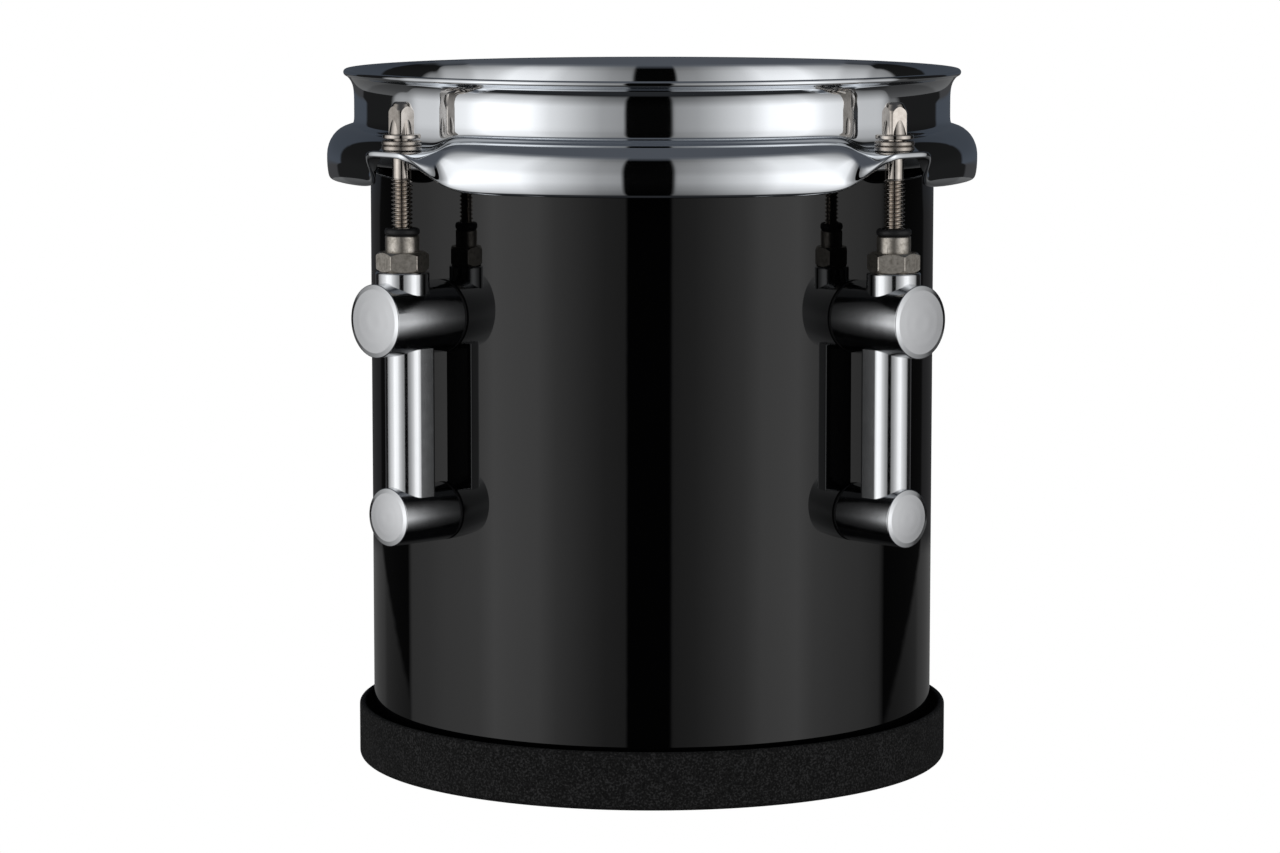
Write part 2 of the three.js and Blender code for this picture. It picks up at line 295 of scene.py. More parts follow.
def about_x(skin, z=0.0):
    """Turns a solid made about Z so that its axis lies along +X, at a height."""
    return skin.moved(Matrix.Translation((0, 0, z)) @ Matrix.Rotation(math.pi / 2, 4, "Y"))


def on_rod(skin):
    """Shifts a solid made about Z to the rod's axis."""
    return skin.moved(Matrix.Translation((ROD_AXIS, 0, 0)))


def add_piece(node, skin, looks, body, angle=0.0, spin=0.0):
    """Makes the visible piece for a CAD node, turned to its station, with its materials and body.

    The angle is about the drum's axis and the spin about the rod's, in degrees.
    """
    name = "fine_" + node
    piece = bpy.data.objects.new(name, skin.mesh(name, 0.001))
    bpy.context.scene.collection.objects.link(piece)
    station = Matrix.Rotation(math.radians(angle), 4, "Z")
    axis = Matrix.Translation((ROD_AXIS / 1000, 0, 0))
    piece.matrix_world = station @ axis @ Matrix.Rotation(math.radians(spin), 4, "Z") @ axis.inverted()
    for look in looks:
        piece.data.materials.append(look)
    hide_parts(node)
    bpy.context.view_layer.update()
    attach(piece, body)
    return piece


# ---------------------------------------------------------------- materials
class Look:
    """A material with one Principled shader, and short calls for the nodes that feed it."""

    def __init__(self, name, **values):
        self.material = bpy.data.materials.new(name)
        self.material.use_nodes = True
        self.tree = self.material.node_tree
        self.shader = self.tree.nodes["Principled BSDF"]
        for key, value in values.items():
            self.shader.inputs[key.replace("_", " ")].default_value = value
        self.where = self.node("ShaderNodeTexCoord").outputs["Object"]

    def node(self, kind, **settings):
        node = self.tree.nodes.new(kind)
        for key, value in settings.items():
            setattr(node, key, value)
        return node

    def link(self, output, target):
        self.tree.links.new(output, target)

    def stretched(self, x, y, z):
        mapping = self.node("ShaderNodeMapping")
        mapping.inputs["Scale"].default_value = (x, y, z)
        self.link(self.where, mapping.inputs["Vector"])
        return mapping.outputs["Vector"]

    def around(self):
        """Coordinates that unroll the surface about Z: angle and height."""
        parts = self.node("ShaderNodeSeparateXYZ")
        self.link(self.where, parts.inputs["Vector"])
        angle = self.maths("ARCTAN2", parts.outputs["Y"], parts.outputs["X"])
        joined = self.node("ShaderNodeCombineXYZ")
        self.link(angle, joined.inputs["X"])
        self.link(parts.outputs["Z"], joined.inputs["Z"])
        return joined.outputs["Vector"]

    def maths(self, operation, *values):
        node = self.node("ShaderNodeMath", operation=operation)
        for socket, value in zip(node.inputs, values):
            if isinstance(value, (int, float)):
                socket.default_value = value
            else:
                self.link(value, socket)
        return node.outputs["Value"]

    def noise(self, size, detail=2.0, rough=0.5, where=None):
        """Noise whose features are about this many millimetres across."""
        node = self.node("ShaderNodeTexNoise")
        self.link(where or self.where, node.inputs["Vector"])
        node.inputs["Scale"].default_value = 1000 / size
        node.inputs["Detail"].default_value = detail
        node.inputs["Roughness"].default_value = rough
        return node.outputs["Fac"]

    def between(self, value, low, high, start=0.3, end=0.7):
        node = self.node("ShaderNodeMapRange")
        self.link(value, node.inputs["Value"])
        for key, number in (("From Min", start), ("From Max", end), ("To Min", low), ("To Max", high)):
            node.inputs[key].default_value = number
        return node.outputs["Result"]

    def colours(self, value, *stops):
        """A colour ramp with stops of (position, colour)."""
        ramp = self.node("ShaderNodeValToRGB")
        elements = ramp.color_ramp.elements
        while len(elements) < len(stops):
            elements.new(0.5)
        for element, (position, colour) in zip(elements, stops):
            element.position = position
            element.color = (*colour, 1)
        self.link(value, ramp.inputs["Fac"])
        return ramp.outputs["Color"]

    def bump(self, height, depth):
        """Raises the surface by up to a depth in millimetres."""
        node = self.node("ShaderNodeBump")
        node.inputs["Distance"].default_value = depth / 1000
        self.link(height, node.inputs["Height"])
        if self.shader.inputs["Normal"].is_linked:
            self.link(self.shader.inputs["Normal"].links[0].from_socket, node.inputs["Normal"])
        self.link(node.outputs["Normal"], self.shader.inputs["Normal"])

    def feed(self, key, output):
        self.link(output, self.shader.inputs[key])


def lacquer():
    look = Look("piano_lacquer", Base_Color=(0.0016, 0.0016, 0.0018, 1), IOR=1.45)
    look.feed("Roughness", look.between(look.noise(14, 3), 0.018, 0.034))
    look.bump(look.noise(6.5, 1.0), 0.006)
    return look.material


def bare_wood():
    look = Look("sealed_maple", IOR=1.45)
    unrolled = look.node("ShaderNodeMapping")
    unrolled.inputs["Scale"].default_value = (0.012, 1, 0.3)
    look.link(look.around(), unrolled.inputs["Vector"])
    grain = look.noise(1.1, 5, 0.62, unrolled.outputs["Vector"])
    pale, warm, dark = (0.62, 0.42, 0.23), (0.50, 0.31, 0.15), (0.34, 0.19, 0.085)
    look.feed("Base Color", look.colours(grain, (0.32, dark), (0.5, warm), (0.68, pale)))
    look.feed("Roughness", look.between(grain, 0.46, 0.32))
    look.bump(grain, 0.05)
    return look.material


def chrome():
    look = Look("mirror_chrome", Base_Color=(0.845, 0.872, 0.905, 1), Metallic=1.0)
    look.feed("Roughness", look.between(look.noise(9, 3), 0.022, 0.05))
    look.bump(look.noise(7, 1.0), 0.004)
    return look.material


def cast_chrome():
    look = Look("cast_chrome", Base_Color=(0.74, 0.755, 0.775, 1), Metallic=1.0)
    look.feed("Roughness", look.between(look.noise(3, 4, 0.6), 0.10, 0.15))
    look.bump(look.noise(3, 2), 0.003)
    return look.material


def satin_chrome():
    look = Look("satin_chrome", Base_Color=(0.77, 0.78, 0.80, 1), Metallic=1.0)
    look.feed("Roughness", look.between(look.noise(2.5, 4, 0.55), 0.22, 0.27))
    look.bump(look.noise(0.6, 2), 0.0006)
    return look.material


def rod_steel():
    look = Look("rod_steel", Metallic=1.0)
    cloud = look.noise(1.5, 4, 0.6)
    look.feed("Base Color", look.colours(cloud, (0.3, (0.50, 0.455, 0.41)), (0.7, (0.68, 0.63, 0.58))))
    look.feed("Roughness", look.between(cloud, 0.08, 0.15))
    look.bump(look.noise(0.4, 2, where=look.stretched(1, 1, 2.5)), 0.003)
    return look.material


def washer_steel():
    look = Look("washer_steel", Metallic=1.0)
    cloud = look.noise(1.2, 4, 0.6)
    look.feed("Base Color", look.colours(cloud, (0.3, (0.42, 0.375, 0.33)), (0.7, (0.60, 0.55, 0.50))))
    look.feed("Roughness", look.between(cloud, 0.2, 0.32))
    look.bump(look.noise(0.3, 3), 0.008)
    return look.material


def nut_steel():
    look = Look("nut_steel", Metallic=1.0)
    cloud = look.noise(1.0, 5, 0.65)
    tones = ((0.30, (0.31, 0.285, 0.25)), (0.5, (0.52, 0.485, 0.435)), (0.7, (0.66, 0.62, 0.57)))
    look.feed("Base Color", look.colours(cloud, *tones))
    look.feed("Roughness", look.between(cloud, 0.42, 0.3))
    look.bump(look.noise(0.45, 4, 0.6), 0.02)
    return look.material


def screw_steel():
    look = Look("screw_steel", Base_Color=(0.55, 0.55, 0.56, 1), Metallic=1.0)
    look.feed("Roughness", look.between(look.noise(1.5, 3), 0.22, 0.36))
    look.bump(look.noise(0.4, 2), 0.006)
    return look.material


def aluminium():
    look = Look("drawn_aluminium", Base_Color=(0.70, 0.71, 0.72, 1), Metallic=1.0)
    lines = look.noise(0.25, 3, 0.6, look.stretched(0.02, 0.02, 1))
    look.feed("Roughness", look.between(lines, 0.24, 0.4))
    look.bump(lines, 0.006)
    return look.material


def rubber():
    look = Look("seal_rubber", Base_Color=(0.010, 0.010, 0.011, 1), IOR=1.48)
    look.feed("Roughness", look.between(look.noise(0.8, 4), 0.42, 0.6))
    look.bump(look.noise(0.3, 3), 0.01)
    return look.material


def foam():
    look = Look("moulded_foam", IOR=1.4)
    speckle = look.noise(0.55, 1, 0.7)
    blotch = look.noise(5, 3, 0.6)
    mixed = look.maths("MULTIPLY_ADD", blotch, 0.2, look.maths("MULTIPLY", speckle, 0.8))
    pore, skin, fleck = (0.0015, 0.0015, 0.0016), (0.008, 0.008, 0.0082), (0.034, 0.034, 0.035)
    look.feed("Base Color", look.colours(mixed, (0.40, pore), (0.52, skin), (0.64, fleck)))
    look.feed("Roughness", look.between(speckle, 0.95, 0.7))
    look.bump(look.noise(0.7, 3, 0.7), 0.2)
    return look.material


def black_film():
    look = Look("black_film", IOR=1.5)
    blotch = look.noise(11, 4, 0.6)
    dark, light = (0.010, 0.010, 0.011), (0.016, 0.016, 0.017)
    look.feed("Base Color", look.colours(blotch, (0.3, dark), (0.7, light)))
    look.feed("Roughness", look.between(blotch, 0.2, 0.3))
    look.bump(look.noise(0.5, 3, 0.6), 0.008)
    return look.material


LACQUER, WOOD, CHROME, CAST_CHROME, SATIN = lacquer(), bare_wood(), chrome(), cast_chrome(), satin_chrome()
ROD_STEEL, WASHER_STEEL, NUT_STEEL, SCREW_STEEL = rod_steel(), washer_steel(), nut_steel(), screw_steel()
ALUMINIUM, RUBBER, FOAM, FILM = aluminium(), rubber(), foam(), black_film()


# ---------------------------------------------------------------- shell, film, hoops and base ring
ROUND = 240  # columns of everything that follows the shell


def make_shell():
    inner = SHELL_RADIUS - SHELL_WALL
    apex = SHELL_RADIUS - 1.4
    wood = 1
    body = lathe(
        [
            (inner, SHELL_FOOT, 0.5, wood),
            (SHELL_RADIUS, SHELL_FOOT, 0.7, 0),
            (SHELL_RADIUS, SHELL_EDGE - 1.4, 1.2, wood),
            (apex, SHELL_EDGE, 0.4, wood),
            (inner, SHELL_EDGE - (apex - inner), 0.4, wood),
        ],
        ROUND,
        closed=True,
    )
    drill = cylinder(SHELL_BORE, inner - 3, SHELL_RADIUS + 3)
    cuts = []
    for angle in STATIONS.values():
        for level in (UPPER_POST_Z, LOWER_POST_Z):
            turned = about_x(drill, level).moved(Matrix.Rotation(math.radians(angle), 4, "Z"))
            cuts.append(("DIFFERENCE", turned))
    add_piece("shell", carve(body, *cuts), (LACQUER, WOOD), "drum_body")


def make_film():
    thick = 0.3
    under = SHELL_EDGE + 0.02
    collar = SHELL_RADIUS + 0.35
    slot = 78.2
    end = 166.2
    film = lathe(
        [
            (0, under),
            (SHELL_RADIUS - 1.2, under, 0.6),
            (collar, SHELL_EDGE - 1.6, 0.5),
            (collar, SHELL_EDGE - 2.7, 0.5),
            (slot, 169.4, 0.5),
            (slot, end),
            (slot + thick, end),
            (slot + thick, 169.5, 0.5),
            (collar + thick, SHELL_EDGE - 2.6, 0.5),
            (collar + thick, SHELL_EDGE - 1.4, 0.8),
            (SHELL_RADIUS - 1.1, under + thick, 0.9),
            (0, under + thick),
        ],
        ROUND,
    )
    add_piece("drum_head", film, (FILM,), "tension_hoop")


def make_flesh_hoop():
    inner, outer = 77.2, FLESH_RADIUS
    slot_inner, slot_outer, slot_floor = 78.0, 78.75, 166.1
    channel = lathe(
        [
            (inner, FLESH_FOOT, 0.6),
            (outer, FLESH_FOOT, 0.8),
            (outer, FLESH_TOP - 2.2, 1.2),
            (outer - 3.1, FLESH_TOP, 0.6),
            (slot_outer, FLESH_TOP, 0.15),
            (slot_outer, slot_floor),
            (slot_inner, slot_floor),
            (slot_inner, FLESH_TOP - 0.2, 0.15),
            (inner, FLESH_TOP - 0.2, 0.3),
        ],
        ROUND,
        closed=True,
    )
    add_piece("flesh_hoop", channel, (ALUMINIUM,), "tension_hoop")


def hoop_lines():
    """Matching control points (radius, z) of the hoop's plain section and of its section through an ear."""
    skirt, under = SKIRT_RADIUS, SKIRT_RADIUS - SHEET
    foot = HOOP_FOOT
    ear, below = EAR_TOP, EAR_TOP - SHEET

    def shoulder(angle, inset=0.0):
        """On the quarter ellipse from skirt to wall, a little outside it because the curve cuts corners."""
        a, b = (6.6 - inset) * 1.02, (7.9 - inset) * 1.02
        return 81.3 + a * math.cos(math.radians(angle)), 164.6 + b * math.sin(math.radians(angle))

    outer = [
        ((skirt - 1.3, foot - 0.12), (95.75, ear - 0.85)),
        ((skirt - 0.6, foot + 0.25), (95.8, ear - 0.08)),
        ((skirt - 0.32, foot + 1.3), (95.2, ear + 0.03)),
        ((skirt - 0.09, 161.5), (93.6, ear)),
        ((skirt, 163.6), (91.4, ear)),
        (shoulder(12), (89, ear)),
        (shoulder(32), (87, ear)),
        (shoulder(52), (85.2, ear)),
        (shoulder(71), (83.8, ear + 0.15)),
        (shoulder(87), (82.4, ear + 0.8)),
        ((80.8, 172.95), (81.2, ear + 2.1)),
        ((80.5, 174), (80.5, 173.3)),
        ((80.5, 176), (80.5, 175.7)),
    ]
    wall_and_lip = [
        (80.5, 178.3),
        (80.5, 180.2),
        (80.57, 181.8),
        (80.77, 183.2),
        (81.2, 184.4),
        (81.9, 185.45),
        (82.5, 186.0),
        (83.15, 186.2),
        (83.45, 186.9),
        (83.2, 187.6),
        (82.6, HOOP_TOP + 0.03),
        (81.7, 187.4),
        (80.75, 186.4),
        (80, 185),
        (79.45, 183.5),
        (79.1, 181.9),
        (78.93, 180.2),
        (78.9, 177.9),
    ]
    inner = [
        ((78.9, 175.5), (78.9, 175.2)),
        ((78.9, 173.8), (78.9, 172.4)),
        ((79.0, 172.1), (79.2, 169.9)),
        ((79.9, 171.05), (80.1, 168.5)),
        ((81.4, 170.95), (81.4, below + 0.1)),
        (shoulder(72, SHEET), (83.2, below)),
        (shoulder(52, SHEET), (85.1, below)),
        (shoulder(32, SHEET), (87, below)),
        (shoulder(12, SHEET), (89, below)),
        ((under, 163.6), (91.4, below)),
        ((under - 0.09, 161.5), (93.6, below)),
        ((under - 0.32, foot + 1.3), (95.2, below - 0.03)),
        ((under - 0.6, foot + 0.25), (95.8, below + 0.08)),
    ]
    pairs = outer + [(corner, corner) for corner in wall_and_lip] + inner
    return np.array([plain for plain, _ in pairs]), np.array([ear_point for _, ear_point in pairs])


def smooth_loop(controls, steps):
    """A closed uniform cubic B-spline, with this many points for each control point."""
    rows = []
    for k in range(len(controls)):
        a, b, c, d = (controls[(k + n) % len(controls)] for n in (-1, 0, 1, 2))
        for step in range(steps):
            t = step / steps
            weights = ((1 - t) ** 3, 3 * t**3 - 6 * t**2 + 4, -3 * t**3 + 3 * t**2 + 3 * t + 1, t**3)
            rows.append(sum(w * p for w, p in zip(weights, (a, b, c, d))) / 6)
    return np.array(rows)


def hoop_grid():
    """The hoop's points by column and row: its section flows from plain to ear and back at each station."""
    steepness = 5.5
    plain, ear = hoop_lines()
    edge_angle, root_angle = 7.1, 5.5  # half the width of an ear at its edge and where it meets the wall
    nearness = np.clip((SKIRT_RADIUS - 1 - plain[:, :1]) / 5, 0, 1)
    half_angle = edge_angle - (edge_angle - root_angle) * nearness
    to_one_side = list(np.arange(0, 20, 0.5)) + list(np.arange(20, 45, 1.25))
    quadrant = [-45.0] + [-a for a in to_one_side[:0:-1]] + to_one_side
    columns = []
    for station in STATIONS.values():
        for angle in quadrant:
            share = 1 / (1 + (abs(angle) / half_angle) ** steepness)
            reach = 1 + share * (1 / math.cos(math.radians(angle)) - 1)
            stretched = ear * np.hstack([reach, np.ones_like(reach)])
            line = smooth_loop(plain * (1 - share) + stretched * share, 2)
            heading = math.radians(station + angle)
            x, y = line[:, 0] * math.cos(heading), line[:, 0] * math.sin(heading)
            columns.append(np.stack([x, y, line[:, 1]], axis=1))
    return np.array(columns)


def closed_grid_skin(grid):
    """A surface that closes on itself along both its columns and its rows."""
    along = np.roll(grid, -1, axis=1) - np.roll(grid, 1, axis=1)
    across = np.roll(grid, -1, axis=0) - np.roll(grid, 1, axis=0)
    normal = np.cross(across, along)
    skin = Skin()
    count, rows = grid.shape[:2]
    for column in grid:
        for point in column:
            skin.point(*point)
    normals = [Vector(n) for n in normal.reshape(-1, 3)]
    for c in range(count):
        after = (c + 1) % count
        for r in range(rows):
            above = (r + 1) % rows
            numbers = (c * rows + r, after * rows + r, after * rows + above, c * rows + above)
            skin.face(numbers, [normals[n] for n in numbers])
    return skin


def make_counter_hoop():
    drill = cylinder(EAR_BORE, HOOP_FOOT, EAR_TOP + 3, 48)
    turns = [Matrix.Rotation(math.radians(angle), 4, "Z") for angle in STATIONS.values()]
    holes = [("DIFFERENCE", on_rod(drill).moved(turn)) for turn in turns]
    skin = carve(closed_grid_skin(hoop_grid()), *holes)
    add_piece("counter_hoop", skin, (CHROME,), "tension_hoop")


def make_base_ring():
    outer, lip = RING_RADIUS, 1.7
    shell_inner = SHELL_RADIUS - SHELL_WALL
    inside = shell_inner - (outer - SHELL_RADIUS)
    grip = 8.5
    ring = lathe(
        [
            (inside, 0, 1.5),
            (outer, 0, 1.8),
            (outer, RING_TOP, 1.0),
            (outer - lip, RING_TOP, 0.65),
            (outer - lip - 0.3, RING_TOP - 3, 1),
            (SHELL_RADIUS + 0.05, grip, 1.0),
            (SHELL_RADIUS + 0.05, SHELL_FOOT - 0.1),
            (shell_inner - 0.05, SHELL_FOOT - 0.1),
            (shell_inner - 0.05, grip, 1.0),
            (inside + lip + 0.3, RING_TOP - 3, 1),
            (inside + lip, RING_TOP, 0.65),
            (inside, RING_TOP, 1.0),
        ],
        ROUND,
        closed=True,
    )
    piece = add_piece("base_ring", ring, (FOAM,), "drum_body")


# ---------------------------------------------------------------- the tension stations
PITCH = 25.4 / 24  # a 24 to the inch thread
CREST, DEPTH, SHANK = 2.83, 0.74, 2.42
THREAD_FOOT, THREAD_TOP = ROD_TIP + 0.6, 162.3
SIDES, ROWS_PER_TURN = 28, 12
ROW_STEP = PITCH / ROWS_PER_TURN
THREAD_ROWS = round((THREAD_TOP + 1.2 - THREAD_FOOT) / ROW_STEP)
FADE_IN, FADE_OUT = 1.3 * PITCH, 0.9 * PITCH
NUT_FOOT, NUT_TOP, COLLAR_TOP = BOSS_TOP + 0.02, 143.1, 147.35
ROD_BORE = 2.85  # radius of the washers' and o-rings' holes


def thread_radius(row, z):
    """A narrow crest with slanting flanks, which fades into the shank at both ends of the thread."""
    turn = (row / ROWS_PER_TURN) % 1
    ridge = min(max(abs(4 * turn - 2) * 1.25 - 1.3, -1), 1)
    into = min((z - THREAD_FOOT) / FADE_IN, (THREAD_TOP - z) / FADE_OUT)
    t = min(max(into, 0), 1)
    fade = t * t * (3 - 2 * t)
    return SHANK + fade * (CREST - DEPTH / 2 - SHANK + ridge * DEPTH / 2)


def side_normal(side):
    angle = math.tau * side / SIDES
    return Vector((math.cos(angle), math.sin(angle), 0))


def rod_ring(skin, radius, z):
    """A ring of points at the thread's sides."""
    angles = [math.tau * side / SIDES for side in range(SIDES)]
    return [skin.point(radius * math.cos(a), radius * math.sin(a), z) for a in angles]


def thread_grid(skin):
    """The thread's points and normals by (side, row). After the last side comes the first, a turn on."""
    numbers, normals = {}, {}
    for side in range(SIDES):
        angle = math.tau * side / SIDES
        out = side_normal(side)
        last = THREAD_ROWS + ROWS_PER_TURN if side == 0 else THREAD_ROWS
        for row in range(last + 1):
            z = THREAD_FOOT + row * ROW_STEP + side / SIDES * PITCH
            radius = thread_radius(row, z)
            slope = (thread_radius(row + 0.5, z) - thread_radius(row - 0.5, z)) / ROW_STEP
            around = slope * PITCH / (math.tau * radius)
            numbers[side, row] = skin.point(radius * math.cos(angle), radius * math.sin(angle), z)
            normals[side, row] = out + Vector((-out.y, out.x, 0)) * around - Vector((0, 0, slope))
    for row in range(ROWS_PER_TURN, THREAD_ROWS + ROWS_PER_TURN + 1):
        numbers[SIDES, row - ROWS_PER_TURN] = numbers[0, row]
        normals[SIDES, row - ROWS_PER_TURN] = normals[0, row]
    return numbers, normals


def thread_body(top):
    """A closed screw thread with a plain shank above it, from the rod's tip up to a height."""
    skin = Skin()
    numbers, normals = thread_grid(skin)
    for side in range(SIDES):
        for row in range(THREAD_ROWS):
            keys = ((side, row), (side + 1, row), (side + 1, row + 1), (side, row + 1))
            skin.face([numbers[key] for key in keys], [normals[key] for key in keys])
    foot, tip = rod_ring(skin, SHANK, THREAD_FOOT - 0.05), rod_ring(skin, SHANK - 0.5, ROD_TIP)
    high = rod_ring(skin, SHANK, top)
    chamfer = Vector((0, 0, -0.5))
    for side in range(SIDES):
        after = (side + 1) % SIDES
        here, there = side_normal(side), side_normal(side + 1)
        # the helix begins and ends in a step one turn high, closed by the last low face and first high face
        low_step = [numbers[0, row] for row in range(ROWS_PER_TURN)] if after == 0 else []
        low_face = [foot[side], foot[after], *low_step, numbers[side + 1, 0], numbers[side, 0]]
        skin.face(low_face, [here] + [there] * (len(low_face) - 2) + [here])
        high_step = [numbers[0, THREAD_ROWS + k] for k in range(ROWS_PER_TURN, 0, -1)] if side == 0 else []
        edge = (numbers[side, THREAD_ROWS], numbers[side + 1, THREAD_ROWS])
        high_face = [*edge, high[after], high[side], *high_step]
        skin.face(high_face, [here, there, there, here] + [here] * len(high_step))
        corners = (tip[side], tip[after], foot[after], foot[side])
        skin.face(corners, (here + chamfer, there + chamfer, there + chamfer, here + chamfer))
    skin.face(tip[::-1], [Vector((0, 0, -1))] * SIDES)
    skin.face(high, [Vector((0, 0, 1))] * SIDES)
    return skin


def rod_skin():
    flange_foot, flange_top = 172.2, 173.4
    flats, corner = 5.2, 3.3
    blank = lathe(
        [
            (0, flange_foot),
            (4.97, flange_foot, 0.3),
            (4.97, flange_top, 0.35),
            (corner, flange_top + 0.1, 0.1),
            (corner, 179.2, 2.2),
            (2.15, KEY_TOP - 0.35, 1.2),
            (1.5, KEY_TOP, 1.2),
            (0, KEY_TOP),
        ],
        64,
    )
    half = flats / 2
    outline = [(-half, -half, 0.2), (half, -half, 0.2), (half, half, 0.2), (-half, half, 0.2)]
    square = prism(outline, 173.3, KEY_TOP + 1)
    disc = cylinder(6, 171, flange_top + 0.12)
    cone = lathe([(0, 172.7), (3.27, 172.7), (3.27, 173.4, 0.1), (half, 177.2), (0, 177.2)], 64)
    keep = carve(disc, ("UNION", square))
    return carve(blank, ("INTERSECT", keep), ("UNION", cone), ("UNION", thread_body(172.6)))


def washer_skin(foot, top):
    inner, outer = ROD_BORE, 5.2
    profile = [(inner, foot, 0.25), (outer, foot, 0.4), (outer, top, 0.4), (inner, top, 0.25)]
    return lathe(profile, 72, closed=True)


def nut_skin():
    corner = 6 / math.cos(math.radians(30))
    angles = [math.radians(30 + 60 * k) for k in range(6)]  # one flat faces straight out
    hexagon = [(corner * math.cos(angle), corner * math.sin(angle), 0.5) for angle in angles]
    slope = 0.85
    blank = lathe(
        [
            (0, NUT_FOOT),
            (5.9, NUT_FOOT, 0.4),
            (corner + 0.1, NUT_FOOT + slope + 0.1),
            (corner + 0.1, NUT_TOP - slope - 0.1),
            (5.9, NUT_TOP, 0.4),
            (0, NUT_TOP),
        ],
        96,
    )
    collar = lathe(
        [
            (0, 127),
            (3.7, 127, 0.3),
            (3.7, NUT_FOOT + 1),
            (4.4, NUT_FOOT + 2),
            (4.4, COLLAR_TOP, 0.45),
            (0, COLLAR_TOP),
        ],
        72,
    )
    bore = cylinder(2.95, 126, COLLAR_TOP + 1, 48)
    body = prism(hexagon, NUT_FOOT - 1, NUT_TOP + 1)
    return carve(body, ("INTERSECT", blank), ("UNION", collar), ("DIFFERENCE", bore))


def o_ring_skin():
    inner, outer, foot, top = ROD_BORE, 4.55, COLLAR_TOP + 0.02, 149.25
    middle, half = (inner + outer) / 2, (top - foot) / 2
    profile = [(inner, foot), (outer, foot), (outer, top), (inner, top)]
    fillet = min(half, middle - inner) * 0.98
    return lathe([(x, y, fillet) for x, y in profile], 64, closed=True)


POSTS = {"upper": (UPPER_POST_Z, 9.5, 99.5), "lower": (LOWER_POST_Z, 7.6, 95.5)}  # height, radius, end
LUG_ROOT = 76.95  # radius of the curve that fits the lug to the shell, over its gasket


def post_skin(level):
    """A post along X. Its end is a low satin dome inside a polished bevel."""
    z, radius, end = POSTS[level]
    dome, bevel, bevel_depth = 0.3, 1.3, 0.34
    satin = 1
    face = radius - bevel
    profile = [
        (0, SHELL_RADIUS - 3),
        (radius, SHELL_RADIUS - 3),
        (radius, end - dome - bevel_depth, 0.3),
        (face, end - dome, 0.8, satin),
        (face * 0.7, end - 0.45 * dome, 30, satin),
        (face * 0.3, end, 40, satin),
        (0, end),
    ]
    return about_x(lathe(profile, 128), z)


def lug_skin():
    """One casting: both posts, the boss, and a bar with flat sides and a half-round front."""
    half, inner, outer, edge = 5.7, 83.2, 93.8, 0.9
    round_ = half - 0.001  # a hair less than the half width, so that the two rounded corners do not meet
    outline = [(inner, -half, edge), (outer, -half, round_), (outer, half, round_), (inner, half, edge)]
    bar = prism(outline, LOWER_POST_Z, UPPER_POST_Z)
    boss = on_rod(lathe([(0, UPPER_POST_Z), (7, UPPER_POST_Z), (7, BOSS_TOP, 0.6), (0, BOSS_TOP)], 96))
    bore = on_rod(cylinder(4, 119, BOSS_TOP + 2, 48))
    hole = cylinder(SCREW_BORE, SHELL_RADIUS - 4, 84.2)
    curve = cylinder(LUG_ROOT, 20, 170, ROUND)
    return carve(
        post_skin("upper"),
        ("UNION", post_skin("lower")),
        ("UNION", bar),
        ("UNION", boss),
        ("DIFFERENCE", curve),
        ("DIFFERENCE", bore),
        ("DIFFERENCE", about_x(hole, UPPER_POST_Z)),
        ("DIFFERENCE", about_x(hole, LOWER_POST_Z)),
    )


def gasket_skin(level):
    """A thin rubber disc, curved to the shell."""
    z, radius, _ = POSTS[level]
    inner, outer = SHELL_RADIUS + 0.02, LUG_ROOT - 0.02
    sleeve = lathe([(inner, z - 12), (outer, z - 12), (outer, z + 12), (inner, z + 12)], ROUND, closed=True)
    disc = cylinder(radius, 70, 82, 96)
    hole = cylinder(SCREW_BORE, 69, 83)
    return carve(sleeve, ("INTERSECT", about_x(disc, z)), ("DIFFERENCE", about_x(hole, z)))


def screw_skin(level):
    head_outer, head_inner = 69.85, 67.1
    head = 3.8
    body = lathe(
        [
            (0, head_inner),
            (2.2, head_inner, 1.5),
            (head, head_inner + 1.3, 0.7),
            (head, head_outer, 0.15),
            (2, head_outer, 0.2),
            (2, 83.3, 0.4),
            (0, 83.3),
        ],
        48,
    )
    arm, half = 2.0, 0.42
    cross = [(arm, -half), (arm, half), (half, half), (half, arm), (-half, arm), (-half, half)]
    cross += [(-x, -y) for x, y in cross]
    slot = prism(cross, head_inner - 1, head_inner + 1.7)
    return about_x(carve(body, ("DIFFERENCE", slot)), POSTS[level][0])


def screw_washer_skin(level):
    profile = [(2.35, 69.9, 0.15), (4.5, 69.9, 0.25), (4.5, 70.65, 0.25), (2.35, 70.65, 0.15)]
    return about_x(lathe(profile, 64, closed=True), POSTS[level][0])


KEY_TURNS = {1: 11, 2: -29, 3: -4, 4: -17}  # degrees each key square stands off the radial
NUT_TURNS = {1: 3, 2: -9, 3: -7, 4: 7}


